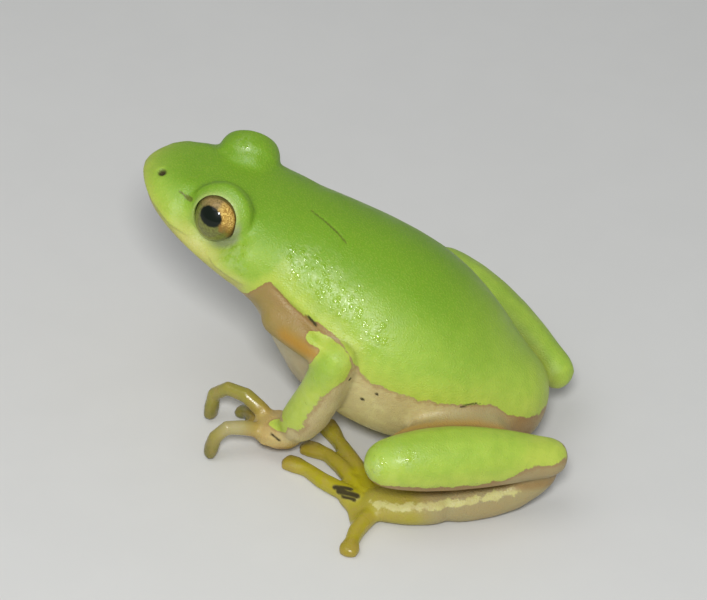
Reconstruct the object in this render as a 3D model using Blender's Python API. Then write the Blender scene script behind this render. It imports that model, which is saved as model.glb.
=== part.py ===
"""A life-size green tree frog, sitting with its chest raised on its arms and its hind legs folded.

Everything is built in millimetres from below the vent, as (side, ahead, up): side is to the frog's left,
ahead is towards its nose and up is above the floor. world() puts the nose towards -Y, and set_down() brings
the finished pieces to metres. The trunk and head are one loft along the body line, which runs straight from
the vent to the tip of the nose. Limbs and digits are lofts along smooth paths. A piece gives way to the
pieces it meets, and leaves GAP between.
"""

import math

import bmesh
import bpy
import numpy as np

MM = 0.001
GAP = 0.3  # between neighbouring pieces

# ---- the body line and the outlines along it ----
LENGTH = 36.0  # vent to nose tip
PITCH = math.radians(24.0)  # of the body line above the floor
VENT_HEIGHT = 4.2
NECK = 23.2  # where the head parts from the trunk, ahead of the vent
NOSE_ROUND = 2.3
RUMP_ROUND = 2.4
TORSO_SIDES = 28

# Each outline is (place on the body line, size). Heights are above or below the body line.
BACK = [(0, 2.7), (4, 3.8), (8, 5.6), (12, 6.7), (17, 6.65), (22, 5.9), (26, 5.1), (29, 4.3), (32, 3.45)]
BACK += [(34.5, 2.55), (36, 1.8)]
BELLY = [(0, -2.8), (4, -4.9), (8, -6.8), (12, -7.9), (16, -8.5), (18, -8.0), (20, -6.5), (22, -4.8)]
BELLY += [(24, -3.0), (28, -1.75), (32, -1.3), (36, -0.3)]
FLANK = [(0, -0.5), (6, -0.4), (12, 0.0), (16, 0.5), (20, 0.8), (24, 0.6), (28, 0.6), (33, 0.8), (36, 0.9)]
WIDTH = [(0, 3.6), (4, 4.9), (8, 6.7), (12, 7.7), (16, 7.6), (20, 6.8), (24, 6.15), (27, 6.05), (30, 5.6)]
WIDTH += [(33, 4.35), (36, 2.5)]
BACK_FULLNESS = [(0, 2.0), (20, 2.0), (27, 2.3), (36, 2.2)]
BELLY_FULLNESS = [(0, 2.0), (12, 2.0), (16, 1.75), (22, 1.75), (27, 2.0), (36, 2.0)]

# ---- the head ----
EYE_RADIUS = 1.8
EYE_GAP = 0.15  # between an eye and its lids
EYE_PLACE = (29.3, 3.5, 3.0)  # place on the body line, side, height above it
LID_THICKNESS = 0.5
LID_OPENING = 1.7  # radius of the round opening in the lids
EYE_AIM = (1.0, 0.1, 0.25)  # side, ahead, up: where the left eye looks
JAW_HINGE = 25.2
MOUTH_DROP = 0.35  # below the widest level of the head

# ---- the limbs, left side, as (side, ahead, up) ----
LEFT_ARM = {
    "shoulder": (5.0, 21.2, 12.7),
    "elbow": (7.9, 14.8, 11.5),
    "forearm_middle": (7.4, 15.95, 7.0),
    "wrist": (6.4, 18.0, 2.3),
    "knuckles": (5.7, 21.0, 1.9),
    "fingers": [
        [(5.0, 20.0, 1.5), (3.8, 21.7, 1.2), (2.8, 23.0, 0.12)],
        [(5.2, 20.4, 1.3), (4.8, 21.2, 1.1), (4.5, 22.0, 0.12)],
        [(5.5, 20.0, 2.5), (4.9, 22.35, 3.75), (4.35, 24.5, 2.95), (4.25, 24.9, 0.1)],
        [(6.6, 19.8, 2.1), (7.8, 21.9, 2.75), (8.4, 23.1, 2.4), (8.6, 23.7, 0.0)],
    ],
}
RIGHT_ARM = {
    "shoulder": (-5.0, 21.0, 12.3),
    "elbow": (-8.0, 14.4, 10.0),
    "forearm_middle": (-6.7, 14.7, 6.0),
    "wrist": (-4.9, 15.6, 1.9),
    "knuckles": (-3.9, 17.5, 1.4),
    "fingers": [
        [(-3.2, 17.0, 1.2), (-2.2, 17.9, 0.9), (-1.3, 18.5, 0.12)],
        [(-3.6, 17.4, 1.2), (-2.9, 18.5, 1.0), (-2.4, 19.3, 0.12)],
        [(-4.1, 17.6, 1.2), (-3.8, 18.8, 1.0), (-3.6, 20.1, 0.12)],
        [(-4.6, 17.3, 1.2), (-4.8, 18.3, 0.9), (-4.9, 19.4, 0.12)],
    ],
}
LEFT_LEG = {
    "hip": (2.8, 2.4, 5.0),
    "thigh_middle": (7.6, 6.2, 5.2),
    "knee": (12.2, 9.6, 6.4),
    "shank_middle": (8.9, 3.9, 6.1),
    "heel": (5.7, -1.9, 5.4),
    "ankle": (5.2, -2.0, 4.6),
    "tarsus": [(6.3, 0.4, 2.0), (8.0, 3.0, 1.35), (9.4, 5.6, 1.25)],
    "sole": [(10.2, 8.2, 1.05), (10.1, 11.2, 0.7)],
    "toes": [
        [(9.2, 9.8, 0.65), (7.1, 10.8, 0.5), (5.4, 11.8, 0.3)],
        [(9.3, 10.5, 0.65), (7.0, 12.2, 0.6), (3.7, 14.9, 0.4), (1.7, 16.6, 0.3)],
        [(9.7, 11.0, 0.65), (8.0, 12.5, 0.6), (5.9, 14.9, 0.5), (5.2, 17.4, 0.3)],
        [(10.2, 11.2, 0.65), (8.8, 14.7, 0.5), (7.8, 16.4, 0.4), (7.4, 18.2, 0.3)],
        [(11.0, 10.0, 0.65), (13.2, 10.7, 0.5), (16.1, 10.7, 0.3)],
    ],
}
RIGHT_TOES = [
    [(9.2, 9.8, 0.65), (7.0, 11.0, 0.5), (5.2, 12.4, 0.3)],
    [(9.3, 10.5, 0.65), (6.0, 12.7, 0.5), (2.2, 15.4, 0.3)],
    [(9.7, 11.0, 0.65), (7.6, 13.7, 0.5), (5.3, 16.3, 0.3)],
    [(10.3, 11.2, 0.65), (9.4, 14.2, 0.5), (7.7, 17.5, 0.3)],
    [(11.2, 10.0, 0.65), (13.9, 10.6, 0.5), (17.2, 10.6, 0.3)],
]
RIGHT_LEG_TURN = math.radians(6.0)  # about its knee, after mirroring the left leg
RIGHT_FOOT_TURN = math.radians(16.0)  # about the end of its tarsus
RIGHT_KNEE = (-12.7, 11.6, 5.4)
RIGHT_HEEL_REACH = 1.0  # how much further its heel lies
RIGHT_ANKLE_BEND = 0.5  # share of the way to the tarsus that its ankle is drawn in

# Sizes are (share of the length, half width, half height).
UPPER_ARM = [(0, 1.6, 1.6), (0.5, 1.5, 1.5), (1, 1.3, 1.3)]
FOREARM = [(0, 1.4, 1.4), (0.15, 1.55, 1.55), (0.4, 1.65, 1.65), (0.7, 1.8, 1.75), (1, 1.5, 1.4)]
PALM = [(0, 1.4, 1.2), (0.6, 1.8, 1.1), (1, 1.5, 0.9)]
THIGH = [(0, 2.4, 2.4), (0.45, 2.6, 2.6), (0.8, 2.1, 2.2), (1, 1.6, 1.7)]
SHANK = [(0, 1.5, 1.5), (0.08, 1.8, 1.8), (0.25, 2.25, 2.3), (0.45, 2.35, 2.45), (0.7, 2.0, 2.1)]
SHANK += [(0.88, 1.5, 1.6), (1, 1.3, 1.4)]
TARSUS = [(0, 1.15, 1.25), (0.3, 1.35, 1.4), (0.7, 1.35, 1.42), (1, 1.3, 1.35)]
SOLE = [(0, 1.3, 1.35), (0.5, 1.55, 1.15), (1, 1.5, 0.8)]
FINGER = [(0, 0.55, 0.55), (0.4, 0.48, 0.48), (0.75, 0.45, 0.45), (0.9, 0.68, 0.45), (1, 0.7, 0.45)]
TOE = [(0, 0.65, 0.6), (0.4, 0.6, 0.56), (0.8, 0.56, 0.45), (0.92, 0.85, 0.45), (1, 0.88, 0.45)]
DIGIT_SIDES = 8
ELBOW_REACH = 1.5  # how far a limb's rounded end goes past its joint
WRIST_REACH = 1.0
KNEE_REACH = 1.5
HEEL_REACH = 1.3
INSTEP_REACH = 1.2
WEB_REACH = (0.55, 0.48, 0.5, 0.42, 0.58)  # share of each toe that the web follows
WEB_SLACK = 0.86  # how far the web's free edge stays back between two toes
WEB_LEVELS = (0.1, 0.65)

SKIN, DIGIT, EYE = "skin_green", "skin_yellow", "eye"
LOOKS = {
    SKIN: ((0.33, 0.56, 0.06), 0.4),
    DIGIT: ((0.78, 0.58, 0.13), 0.4),
    EYE: ((0.42, 0.28, 0.10), 0.08),
}


# ---- places and outlines ----


def world(points):
    """(side, ahead, up) to (x, y, z) with the nose towards -Y."""
    return np.asarray(points, float) * (1, -1, 1)


def on_body(place, side, height):
    """A point given along, beside and above the body line."""
    return np.array(
        [
            side,
            place * math.cos(PITCH) - height * math.sin(PITCH),
            VENT_HEIGHT + place * math.sin(PITCH) + height * math.cos(PITCH),
        ]
    )


def smooth(outline, at):
    """The outline's size at a place, by a cubic through its points."""
    x, y = np.array(outline, float).T
    slope = np.gradient(y, x)
    at = float(np.clip(at, x[0], x[-1]))
    i = min(int(np.searchsorted(x, at, "right")) - 1, len(x) - 2)
    step = x[i + 1] - x[i]
    t = (at - x[i]) / step
    return (
        (2 * t**3 - 3 * t**2 + 1) * y[i]
        + (t**3 - 2 * t**2 + t) * step * slope[i]
        + (-2 * t**3 + 3 * t**2) * y[i + 1]
        + (t**3 - t**2) * step * slope[i + 1]
    )


def signed_power(value, power):
    return math.copysign(abs(value) ** power, value)


def unit(vector):
    return np.asarray(vector, float) / np.linalg.norm(vector)


# ---- meshes ----


def mesh_object(name, points, faces, material=None):
    """A closed mesh with its normals outwards, linked to the model's collection."""
    mesh = bpy.data.meshes.new(name)
    mesh.from_pydata([tuple(p) for p in world(points)], [], faces)
    made = bpy.data.objects.new(name, mesh)
    frog.objects.link(made)
    tidy(made)
    if material:
        mesh.materials.append(bpy.data.materials[material])
    return made


def tidy(made):
    """Keeps the largest closed piece of a mesh, in triangles that face outwards."""
    shell = bmesh.new()
    shell.from_mesh(made.data)
    left = set(shell.faces)
    pieces = []
    while left:
        piece = [left.pop()]
        for face in piece:
            for edge in face.edges:
                for other in edge.link_faces:
                    if other in left:
                        left.remove(other)
                        piece.append(other)
        pieces.append(piece)
    largest = max(pieces, key=lambda piece: sum(face.calc_area() for face in piece))
    spare = [face for piece in pieces if piece is not largest for face in piece]
    bmesh.ops.delete(shell, geom=spare, context="FACES")
    bmesh.ops.triangulate(shell, faces=shell.faces)
    bmesh.ops.recalc_face_normals(shell, faces=shell.faces)
    shell.to_mesh(made.data)
    shell.free()
    made.data.shade_smooth()
    return made


def loft(name, rings, poles, material=None):
    """A skin over rings with equal numbers of points, closed by a pole point at each end."""
    sides = len(rings[0])
    points = [poles[0], *[p for ring in rings for p in ring], poles[1]]
    last = len(points) - 1
    faces = []
    for k in range(sides):
        after = (k + 1) % sides
        faces.append((0, 1 + after, 1 + k))
        faces.append((last, last - sides + k, last - sides + after))
        for r in range(len(rings) - 1):
            a, b = 1 + r * sides, 1 + (r + 1) * sides
            faces.append((a + k, a + after, b + after, b + k))
    return mesh_object(name, points, faces, material)


def combine(target, other, operation):
    """Applies a Boolean and removes the other object."""
    modifier = target.modifiers.new("combine", "BOOLEAN")
    modifier.operation = operation
    modifier.solver = "EXACT"
    modifier.object = other
    bpy.context.view_layer.update()
    graph = bpy.context.evaluated_depsgraph_get()
    result = bpy.data.meshes.new_from_object(target.evaluated_get(graph))
    target.modifiers.clear()
    target.data = result
    bpy.data.objects.remove(other)
    return tidy(target)


def cut(target, *others):
    for other in others:
        combine(target, other, "DIFFERENCE")
    return target


def copy_of(source, name):
    made = source.copy()
    made.data = source.data.copy()
    made.name = name
    frog.objects.link(made)
    return made


def ball(name, centre, radius, aim, material=None):
    """A sphere with its poles along aim."""
    bpy.ops.mesh.primitive_uv_sphere_add(segments=14, ring_count=9, radius=radius)
    made = bpy.context.object
    made.name = name
    for collection in list(made.users_collection):
        collection.objects.unlink(made)
    frog.objects.link(made)
    pole = unit(aim)
    beside = unit(np.cross((0, 0, 1), pole))
    points = np.array([v.co for v in made.data.vertices]) @ np.array([beside, np.cross(pole, beside), pole])
    made.data.vertices.foreach_set("co", world(points + centre).astype(np.float32).ravel())
    if material:
        made.data.materials.append(bpy.data.materials[material])
    return tidy(made)


# ---- trunk and head ----


def torso_ring(place, grow):
    """A section across the body line: an upper and a lower half ellipse that meet at the flank."""
    width, level = smooth(WIDTH, place), smooth(FLANK, place)
    top, bottom = smooth(BACK, place), smooth(BELLY, place)
    near_nose = max(0.0, place - (LENGTH - NOSE_ROUND)) / NOSE_ROUND
    near_rump = max(0.0, RUMP_ROUND - place) / RUMP_ROUND
    close = math.sqrt(max(0.0, 1 - near_nose**2)) * math.sqrt(max(0.0, 1 - near_rump**2))
    ring = []
    for k in range(TORSO_SIDES):
        angle = 2 * math.pi * k / TORSO_SIDES
        upper = math.sin(angle) >= 0
        power = 2 / smooth(BACK_FULLNESS if upper else BELLY_FULLNESS, place)
        reach = (top - level if upper else level - bottom) * close + grow
        side = (width * close + grow) * signed_power(math.cos(angle), power)
        ring.append(on_body(place, side, level + reach * signed_power(math.sin(angle), power)))
    return ring


def torso(name, start, end, stations, grow=0.0, material=None):
    """The body between two places on its line. It is rounded off at the rump and at the nose."""
    share = np.linspace(0, 1, stations)
    if start <= 0 and end >= LENGTH:
        share = (1 - np.cos(share * math.pi)) / 2
    elif start <= 0:
        share = 1 - np.cos(share * math.pi / 2)
    elif end >= LENGTH:
        share = np.sin(share * math.pi / 2)
    places = start + (end - start) * share
    rings = [torso_ring(p, grow) for p in places]
    poles = [on_body(start - grow, 0, smooth(FLANK, start)), on_body(end + grow, 0, smooth(FLANK, end))]
    if start <= 0 and not grow:
        rings = rings[1:]
    if end >= LENGTH and not grow:
        rings = rings[:-1]
    return loft(name, rings, poles, material)


def body_room(name="room"):
    """The whole of the trunk and head with the gap round it."""
    return torso(name, 0.0, LENGTH, 22, GAP)


def mouth_block(name, grow=0.0):
    """What lies under the mouth line, from the jaw hinge to beyond the nose."""
    rings = []
    for place in np.linspace(JAW_HINGE - grow, LENGTH + 2, 9):
        level = smooth(FLANK, place) - MOUTH_DROP + grow
        corners = [(-9, level), (9, level), (9, level - 9), (-9, level - 9)]
        rings.append([on_body(place, side, height) for side, height in corners])
    return loft(name, rings, [np.mean(rings[0], axis=0), np.mean(rings[-1], axis=0)])


def make_head():
    """Upper head with lids and eye sockets, the lower jaw and the two eyes."""
    head = torso("head", NECK + GAP / 2, LENGTH, 13, material=SKIN)
    combine(copy_of(head, "lower_jaw"), mouth_block("below"), "INTERSECT")
    cut(head, mouth_block("below", GAP))
    place, out, height = EYE_PLACE
    socket_radius = EYE_RADIUS + EYE_GAP
    lid_radius = socket_radius + LID_THICKNESS
    for side, name in ((1, "eye_left"), (-1, "eye_right")):
        centre = on_body(place, out * side, height)
        aim = unit(np.array(EYE_AIM) * (side, 1, 1))
        combine(head, ball("lid", centre, lid_radius, aim), "UNION")
        cut(
            head,
            ball("opening", centre + aim * lid_radius * 0.9, LID_OPENING, aim),
            ball("socket", centre, socket_radius, aim),
        )
        ball(name, centre, EYE_RADIUS, aim, EYE)


# ---- limbs ----


def curve_through(points, count):
    """Points spread along a smooth curve through the given ones, closer together near both ends."""
    points = np.array(points, float)
    ends = np.vstack([2 * points[0] - points[1], points, 2 * points[-1] - points[-2]])
    fine = []
    for a, b, c, d in zip(ends, ends[1:], ends[2:], ends[3:]):
        for t in np.linspace(0, 1, 20, endpoint=False):
            cubic = (3 * b - a - 3 * c + d) * t**3
            fine.append(0.5 * (2 * b + (c - a) * t + (2 * a - 5 * b + 4 * c - d) * t**2 + cubic))
    fine = np.array([*fine, points[-1]])
    along = np.concatenate([[0], np.cumsum(np.linalg.norm(np.diff(fine, axis=0), axis=1))])
    share = np.linspace(0, 1, count)
    share = share - 0.11 * np.sin(2 * math.pi * share)
    return np.stack([np.interp(share * along[-1], along, fine[:, k]) for k in range(3)], 1), share


def limb(name, path, sizes, stations=9, sides=12, grow=0.0, material=SKIN):
    """A tube along a path with rounded ends. It is flat where it would pass through the floor."""
    centres, shares = curve_through(path, stations)
    length = np.linalg.norm(np.diff(centres, axis=0), axis=1).sum()
    above = np.array([0.0, 0.0, 1.0])
    rings = []
    for i, (centre, share) in enumerate(zip(centres, shares)):
        tangent = unit(centres[min(i + 1, stations - 1)] - centres[max(i - 1, 0)])
        above = unit(above - tangent * (above @ tangent))
        beside = np.cross(tangent, above)
        wide, high = (smooth([(row[0], row[k]) for row in sizes], share) for k in (1, 2))
        inside = min(share, 1 - share) * length
        close = math.sqrt(max(0.0, 1 - (1 - min(1.0, inside / wide)) ** 2))
        across = beside * (wide * close + grow)
        upward = above * (high * close + grow)
        turns = [2 * math.pi * (k + 0.5) / sides for k in range(sides)]
        rings.append([centre + across * math.cos(t) + upward * math.sin(t) for t in turns])
    poles = [
        centres[0] + unit(centres[0] - centres[1]) * grow,
        centres[-1] + unit(centres[-1] - centres[-2]) * grow,
    ]
    if not grow:
        rings = rings[1:-1]
    floor = -grow
    rings = [[(x, y, max(z, floor)) for x, y, z in ring] for ring in rings]
    poles = [(x, y, max(z, floor)) for x, y, z in poles]
    return loft(name, rings, poles, material)


def beyond(joint, neighbour, reach):
    """A joint moved away from its neighbour, so that the limb's rounded end covers it."""
    return np.array(joint) + unit(np.subtract(joint, neighbour)) * reach


def turned(points, about, angle):
    """Points turned about the vertical through a point."""
    points = np.asarray(points, float) - about
    c, s = math.cos(angle), math.sin(angle)
    return points @ np.array([[c, s, 0], [-s, c, 0], [0, 0, 1]]) + about


def right_leg():
    """The left leg mirrored, moved to the right knee and turned about it."""
    knee = np.array(RIGHT_KNEE)
    move = knee - np.array(LEFT_LEG["knee"]) * (-1, 1, 1)

    def other_side(value):
        points = np.array(value, float) * (-1, 1, 1) + (move[0], move[1], 0)
        return turned(points, knee, RIGHT_LEG_TURN)

    leg = {name: other_side(value) for name, value in LEFT_LEG.items() if name != "toes"}
    leg["ankle"] = leg["ankle"] + (leg["tarsus"][0] - leg["ankle"]) * RIGHT_ANKLE_BEND
    leg["heel"] = beyond(leg["heel"], leg["shank_middle"], RIGHT_HEEL_REACH)
    pivot = leg["tarsus"][-1]
    leg["sole"] = turned(leg["sole"], pivot, RIGHT_FOOT_TURN)
    leg["toes"] = [turned(other_side(path), pivot, RIGHT_FOOT_TURN) for path in RIGHT_TOES]
    return leg


def make_arm(arm, side):
    """Upper arm, forearm, hand and four fingers."""
    upper = [arm["shoulder"], arm["elbow"]]
    middle = arm["forearm_middle"]
    fore = [beyond(arm["elbow"], middle, ELBOW_REACH), middle, arm["wrist"]]
    palm = [beyond(arm["wrist"], arm["knuckles"], WRIST_REACH), arm["knuckles"]]
    forearm = limb(f"forearm_{side}", fore, FOREARM)
    upper_arm = limb(f"upper_arm_{side}", upper, UPPER_ARM, stations=8)
    cut(forearm, body_room())
    cut(upper_arm, body_room(), limb("room", fore, FOREARM, grow=GAP))
    hand = limb(f"hand_{side}", palm, PALM, stations=8, sides=10)
    cut(hand, limb("room", fore, FOREARM, grow=GAP))
    for number, path in enumerate(arm["fingers"], 1):
        finger = limb(f"finger_{number}_{side}", path, FINGER, sides=DIGIT_SIDES, material=DIGIT)
        cut(finger, limb("room", palm, PALM, stations=8, sides=10, grow=GAP))
        for earlier in arm["fingers"][: number - 1]:
            cut(finger, limb("room", earlier, FINGER, sides=DIGIT_SIDES, grow=GAP))


def web(name, leg):
    """A thin plate between the toes, with a hollow free edge between each two."""
    root = np.mean(leg["sole"], axis=0)
    tips = []
    for path, reach in zip(leg["toes"], WEB_REACH):
        centres, shares = curve_through(path, 20)
        tips.append(np.array([np.interp(reach, shares, centres[:, k]) for k in range(3)]))
    outline = [root, tips[0]]
    for before, after in zip(tips, tips[1:]):
        outline.append(root + ((before + after) / 2 - root) * WEB_SLACK)
        outline.append(after)
    count = len(outline)
    points = [(x, y, level) for level in WEB_LEVELS for x, y, _ in outline]
    faces = [tuple(range(count)), tuple(range(2 * count - 1, count - 1, -1))]
    faces += [(k, (k + 1) % count, count + (k + 1) % count, count + k) for k in range(count)]
    return mesh_object(name, points, faces)


def make_leg(leg, side):
    """Thigh, shank, tarsus, webbed foot and five toes."""
    thigh_path = [leg["hip"], leg["thigh_middle"], leg["knee"]]
    middle = leg["shank_middle"]
    shank_path = [beyond(leg["knee"], middle, KNEE_REACH), middle, beyond(leg["heel"], middle, HEEL_REACH)]
    tarsus_path = [leg["ankle"], *leg["tarsus"]]
    sole_path = [beyond(leg["tarsus"][-1], leg["sole"][0], INSTEP_REACH), *leg["sole"]]
    shank = limb(f"shank_{side}", shank_path, SHANK, stations=12)
    thigh = limb(f"thigh_{side}", thigh_path, THIGH)
    tarsus = limb(f"tarsus_{side}", tarsus_path, TARSUS, stations=10)
    foot = limb(f"foot_{side}", sole_path, SOLE)
    cut(shank, body_room())
    cut(thigh, body_room(), limb("room", shank_path, SHANK, stations=12, grow=GAP))
    cut(tarsus, body_room(), limb("room", shank_path, SHANK, stations=12, grow=GAP))
    combine(foot, web("web", leg), "UNION")
    cut(foot, limb("room", tarsus_path, TARSUS, stations=10, grow=GAP))
    for number, path in enumerate(leg["toes"], 1):
        cut(foot, limb("room", path, TOE, sides=DIGIT_SIDES, grow=GAP))
        toe = limb(f"toe_{number}_{side}", path, TOE, sides=DIGIT_SIDES, material=DIGIT)
        for earlier in leg["toes"][: number - 1]:
            cut(toe, limb("room", earlier, TOE, sides=DIGIT_SIDES, grow=GAP))


def make_materials():
    for name, (colour, roughness) in LOOKS.items():
        material = bpy.data.materials.new(name)
        material.use_nodes = True
        shader = material.node_tree.nodes["Principled BSDF"]
        shader.inputs["Base Color"].default_value = (*colour, 1)
        shader.inputs["Roughness"].default_value = roughness
        shader.inputs["Metallic"].default_value = 0.0


def set_down(objects):
    """Brings the model to metres, with the middle of its underside at the origin."""
    points = np.array([tuple(v.co) for made in objects for v in made.data.vertices])
    low, high = points.min(axis=0), points.max(axis=0)
    middle = [(low[0] + high[0]) / 2, (low[1] + high[1]) / 2, low[2]]
    for made in objects:
        for vertex in made.data.vertices:
            vertex.co = [(a - b) * MM for a, b in zip(vertex.co, middle)]


for old in list(bpy.data.objects):
    bpy.data.objects.remove(old)
frog = bpy.data.collections.new("tree_frog")
bpy.context.scene.collection.children.link(frog)
make_materials()
torso("trunk", 0.0, NECK - GAP / 2, 15, material=SKIN)
make_head()
make_arm(LEFT_ARM, "left")
make_arm(RIGHT_ARM, "right")
make_leg(LEFT_LEG, "left")
make_leg(right_leg(), "right")
set_down(list(frog.objects))
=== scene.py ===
"""A still, life-size tree frog: one grained skin and two wet eyes, in a small pale studio."""

import math

import bpy
import numpy as np
from bpy.props import FloatProperty, FloatVectorProperty, IntProperty, PointerProperty
from mathutils import Matrix, Vector
from mathutils.bvhtree import BVHTree


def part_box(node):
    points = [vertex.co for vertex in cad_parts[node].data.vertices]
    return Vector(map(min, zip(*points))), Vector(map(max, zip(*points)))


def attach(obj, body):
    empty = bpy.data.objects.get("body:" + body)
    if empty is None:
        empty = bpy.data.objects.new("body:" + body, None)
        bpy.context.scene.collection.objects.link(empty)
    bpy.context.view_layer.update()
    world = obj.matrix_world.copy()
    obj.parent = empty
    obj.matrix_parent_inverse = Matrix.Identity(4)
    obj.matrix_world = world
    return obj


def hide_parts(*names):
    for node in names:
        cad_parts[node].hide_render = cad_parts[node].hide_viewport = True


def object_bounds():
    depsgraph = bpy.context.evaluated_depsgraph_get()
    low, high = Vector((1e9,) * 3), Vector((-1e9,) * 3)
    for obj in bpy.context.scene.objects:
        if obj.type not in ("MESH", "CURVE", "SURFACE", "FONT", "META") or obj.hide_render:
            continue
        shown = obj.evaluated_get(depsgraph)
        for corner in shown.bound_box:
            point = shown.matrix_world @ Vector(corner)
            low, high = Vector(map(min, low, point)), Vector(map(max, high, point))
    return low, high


bl_info = {
    "name": "Tree frog",
    "version": (1, 0, 0),
    "blender": (4, 5, 0),
    "location": "3D View > Sidebar > Tree frog",
    "description": "Builds a life-size still tree frog with a grained skin, on a studio floor",
    "category": "Object",
}

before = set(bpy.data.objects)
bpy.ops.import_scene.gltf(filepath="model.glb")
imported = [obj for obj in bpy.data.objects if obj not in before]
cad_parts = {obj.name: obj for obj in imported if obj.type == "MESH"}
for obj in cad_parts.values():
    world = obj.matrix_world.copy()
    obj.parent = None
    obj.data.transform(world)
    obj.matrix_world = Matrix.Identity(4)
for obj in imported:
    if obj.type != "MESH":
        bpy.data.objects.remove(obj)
CAD_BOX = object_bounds()

# Shapes are worked out in millimetres, and the frame is in metres.
MM = 1000.0

EYES = ("eye_left", "eye_right")
FLESH = tuple(sorted(set(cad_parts) - set(EYES)))
DIGITS = tuple(n for n in FLESH if n.startswith(("finger", "toe")))

# Which way along X each side of the frog lies.
OUT = {"left": 1.0, "right": -1.0}

# The body line rises towards the nose. Both eyes lie at the same place and height on it.
BODY_PITCH = math.radians(24.0)
EYE_PLACE = 29.3
EYE_HEIGHT = 3.0

# Which way the left eye's lids open, and where its pupil looks: out, back and up.
LID_AIM = (1.0, -0.1, 0.25)
GAZE = (0.89, -0.19, 0.43)

# Which way each eye's brow swells most: share ahead and share up.
BROW = {"left": (-0.65, 0.75), "right": (0.2, 0.98)}

# How far out from the eyeball the lids are shaped, and how far round from the line they open along.
LID_REACH = 1.9
LID_TURN = math.radians(112.0)

# How far from a solid a point of the skin may still count as lying on it, and how softly a point is
# shared out among solids that lie almost as close.
REACH = 2.4
SOFTNESS = 0.3

# Distances from an eye's middle where the lids end and where the plain head begins.
LIDS_END, HEAD_BEGINS = 2.5, 3.3

# How far the eye's clear front stands out, as a share of its radius, and its width as an angle.
FRONT_BULGE = 0.045
FRONT_WIDTH = 0.75

# Smoothing takes a point this share of the way to its neighbours. Where the thickness has to
# stay, it then steps back.
STEP_IN = 0.5
STEP_BACK = -0.53

# Rounds of smoothing: the whole skin, then its broad parts, then the whole skin at its final
# thickness, the lids, and the ring round them.
FIRST_ROUNDS, BROAD_ROUNDS, LAST_ROUNDS, LID_ROUNDS, RING_ROUNDS = 25, 90, 6, 4, 30

# Where one part of the body folds against another, and how deep the crease is. The creases are also
# painted darker as shade.
FOLDS = (("forearm", "trunk"), ("shank", "trunk"), ("shank", "thigh"), ("shank", "tarsus"))
FOLD_DEPTH = 0.12

# Points below are (place along the body line from the vent, side, height over the line).
NOSTRILS = ((34.5, 1.93, 2.2), (34.2, -2.5, 1.8))

# Lower edge of the green on trunk and head: (place, height).
GREEN_EDGE = (
    (-3.0, 1.3), (0.8, 1.45), (4.7, 1.5), (6.0, 1.45), (8.0, 1.1), (9.5, 0.85), (11.3, 0.5),
    (13.0, 0.4), (14.5, 0.3), (15.6, 0.9), (17.4, 1.6), (21.5, 1.6), (23.6, 1.9), (24.1, 0.9),
    (24.6, -0.3), (25.2, -0.9), (28.0, -0.8), (32.0, -0.3), (36.0, 0.3),
)

# Lower edge of the green along the shank: (place, distance over the shank's middle).
SHANK_EDGE = (
    (-1.8, 0.85), (0.6, 0.85), (1.4, 0.25), (4.0, 0.2), (6.5, -0.1), (8.3, -0.1), (11.0, -1.0),
)

# Where the green ends round the forearm: (height over its middle, distance behind its front).
FOREARM_EDGE = ((-0.5, 0.85), (1.0, 0.58), (2.25, -0.18), (4.0, -1.3))

# How far outside the green a wholly bare solid lies.
BARE = -2.0

# The green tongue on the upper arm, the green that runs on over the near wrist, the orange
# stripe along the crook of the elbow, and the bare crease behind it.
ELBOW_TONGUE = ((18.8, 7.8, 1.25), (17.0, 8.1, 1.6))
WRIST_PATCH = ((17.15, 6.9, -8.7), (16.5, 7.9, -7.5))
WARM_CROOK = ((20.6, 7.7, -0.35), (17.3, 8.95, 0.65))
ELBOW_CREASE = (
    (19.2, 7.0, 1.85), (17.4, 7.4, 1.88), (16.5, 7.85, 1.8),
    (15.6, 8.2, 1.6), (15.1, 8.1, 1.15), (14.7, 7.9, 0.7),
)

# The bare front of the elbow, from the middle of the forearm: out, back and up.
CROOK = np.array((0.65, -0.7, 4.7))

# Small dark marks: (place, side, height, size).
SPECKS = ((13.09, 7.53, -1.57, 0.22), (12.42, 7.65, -0.34, 0.16), (14.79, 8.18, 0.06, 0.20))

# Short dark lines: both ends, and the half width.
DARK_LINES = (
    ((19.8, 6.8, 1.85), (19.1, 7.0, 1.8), 0.17),
    ((6.6, 5.75, 1.4), (6.0, 5.3, 1.65), 0.09),
    ((6.0, 5.3, 1.65), (5.4, 4.9, 1.85), 0.07),
    ((16.9, 7.7, -9.08), (16.2, 7.85, -9.08), 0.13),
    ((11.0, 9.75, -8.4), (9.9, 9.9, -7.8), 0.24),
    ((10.6, 10.0, -8.3), (9.3, 10.3, -7.5), 0.30),
    ((10.2, 10.4, -8.2), (9.3, 10.6, -7.8), 0.17),
)

# Fine brown lines in front of the eye and behind the head, as above.
STREAKS = (
    ((32.65, 3.25, 2.6), (32.0, 3.42, 2.68), 0.10),
    ((32.0, 3.42, 2.68), (31.6, 3.55, 2.72), 0.24),
    ((23.57, 0.53, 5.48), (22.43, 0.92, 5.71), 0.09),
    ((22.43, 0.92, 5.71), (21.19, 1.52, 5.88), 0.12),
    ((21.19, 1.52, 5.88), (20.36, 2.19, 5.88), 0.09),
)

# Where the skin glistens with small drops, and where a pale sheen is painted into its colour:
# (place, sides, height, reach).
WET = (
    (22.4, (4.7, -4.7), 4.1, 1.5),
    (20.3, (5.3, -5.3), 4.2, 1.7),
    (18.0, (5.8, -5.8), 4.0, 1.6),
    (15.2, (6.5, -6.5), 3.5, 1.5),
    (26.9, (5.7, -5.7), 1.9, 1.3),
    (30.3, (-2.5,), 5.0, 0.7),
    (19.6, (8.2,), -9.9, 1.2),
    (10.04, (13.5,), -1.3, 0.8),
    (8.7, (12.6,), 0.24, 0.9),
)


# ---- plain helpers


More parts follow.
